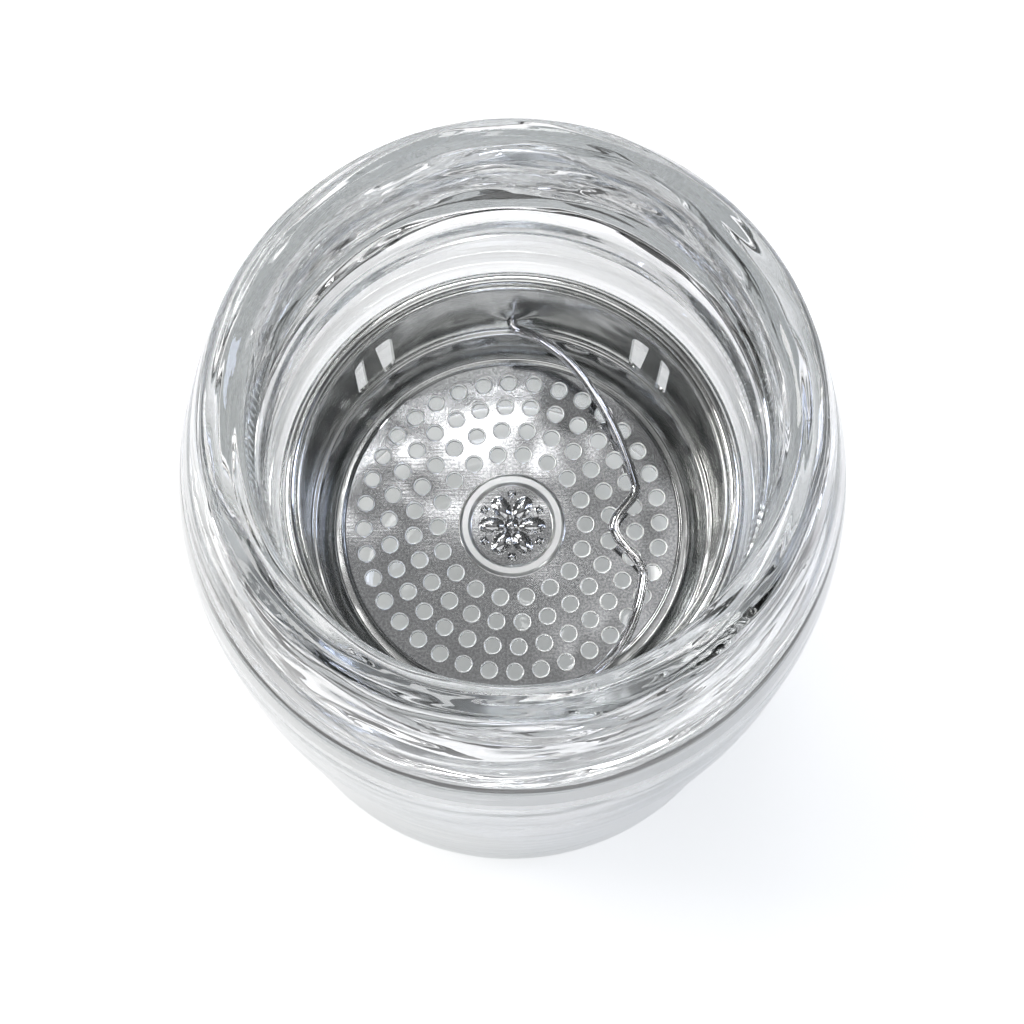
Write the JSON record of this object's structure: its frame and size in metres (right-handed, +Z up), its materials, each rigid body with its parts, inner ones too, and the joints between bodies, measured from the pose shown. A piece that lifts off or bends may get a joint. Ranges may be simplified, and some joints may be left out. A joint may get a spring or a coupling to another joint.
{
  "type": "double-walled glass tea bottle with lift-out strainer",
  "caption": "Short double-walled clear glass tea bottle with a thick rounded mouth and a lift-out perforated steel strainer that has a folding wire bail.",
  "frame": {"origin": "centre of the glass's round foot, on the plane it stands on", "axes": "+Z up along the glass's axis; +X to the right as seen from the front, the side the wire bail lies folded on; +Y to the back, along the bail's pivot line"},
  "size_m": [0.0756, 0.0756, 0.1119],
  "materials": {
    "liner_glass": "clear polished glass",
    "shell_glass": "clear polished glass",
    "cup_steel": "drawn and polished stainless sheet",
    "disc_steel": "brushed stainless sheet with bright punched holes",
    "wire_steel": "bright drawn wire"
  },
  "bodies": {
    "glass": {"glass_liner": "liner_glass", "glass_shell": "shell_glass"},
    "strainer": {"strainer_cup": "cup_steel", "strainer_disc": "disc_steel"},
    "bail": {"bail_handle": "wire_steel"}
  },
  "joints": [
    {"name": "strainer_lift", "type": "slide", "parent": "glass", "child": "strainer", "axis": [0, 0, 1], "range_m": [0, 0.06]},
    {"name": "bail_swing", "type": "hinge", "parent": "strainer", "child": "bail", "pos_m": [0, 0, 0.068], "axis": [0, -1, 0], "range_deg": [0, 228]}
  ]
}
